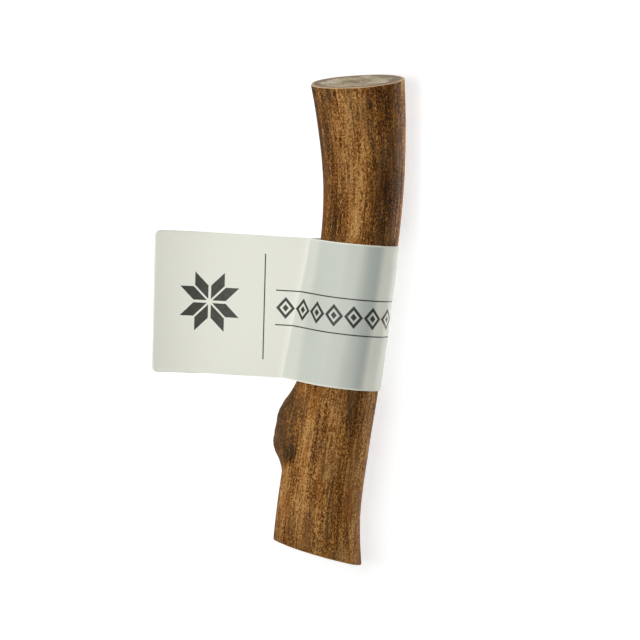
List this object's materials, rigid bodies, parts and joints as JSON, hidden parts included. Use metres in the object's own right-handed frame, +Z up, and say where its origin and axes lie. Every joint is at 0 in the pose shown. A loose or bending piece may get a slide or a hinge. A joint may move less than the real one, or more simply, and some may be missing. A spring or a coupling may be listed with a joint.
{
  "type": "reindeer antler chew",
  "caption": "Sawn length of reindeer antler with a gently bowed oval beam and a side bud, wrapped at its waist by a cream paper strip that stands out as a flag label. A chew for dogs.",
  "frame": {"origin": "on the ground under the middle of the object as it lies on its flatter back", "axes": "+Y runs along the beam to its wider sawn end, +Z is up, the label's flag points to -X"},
  "size_m": [0.079, 0.1539, 0.0233],
  "materials": {
    "antler": "matt brown antler with lengthwise streaks, pale spongy core at the sawn ends",
    "label_paper": "smooth satin cream paper"
  },
  "bodies": {
    "root": {"antler": "antler", "label": "label_paper"}
  },
  "joints": []
}
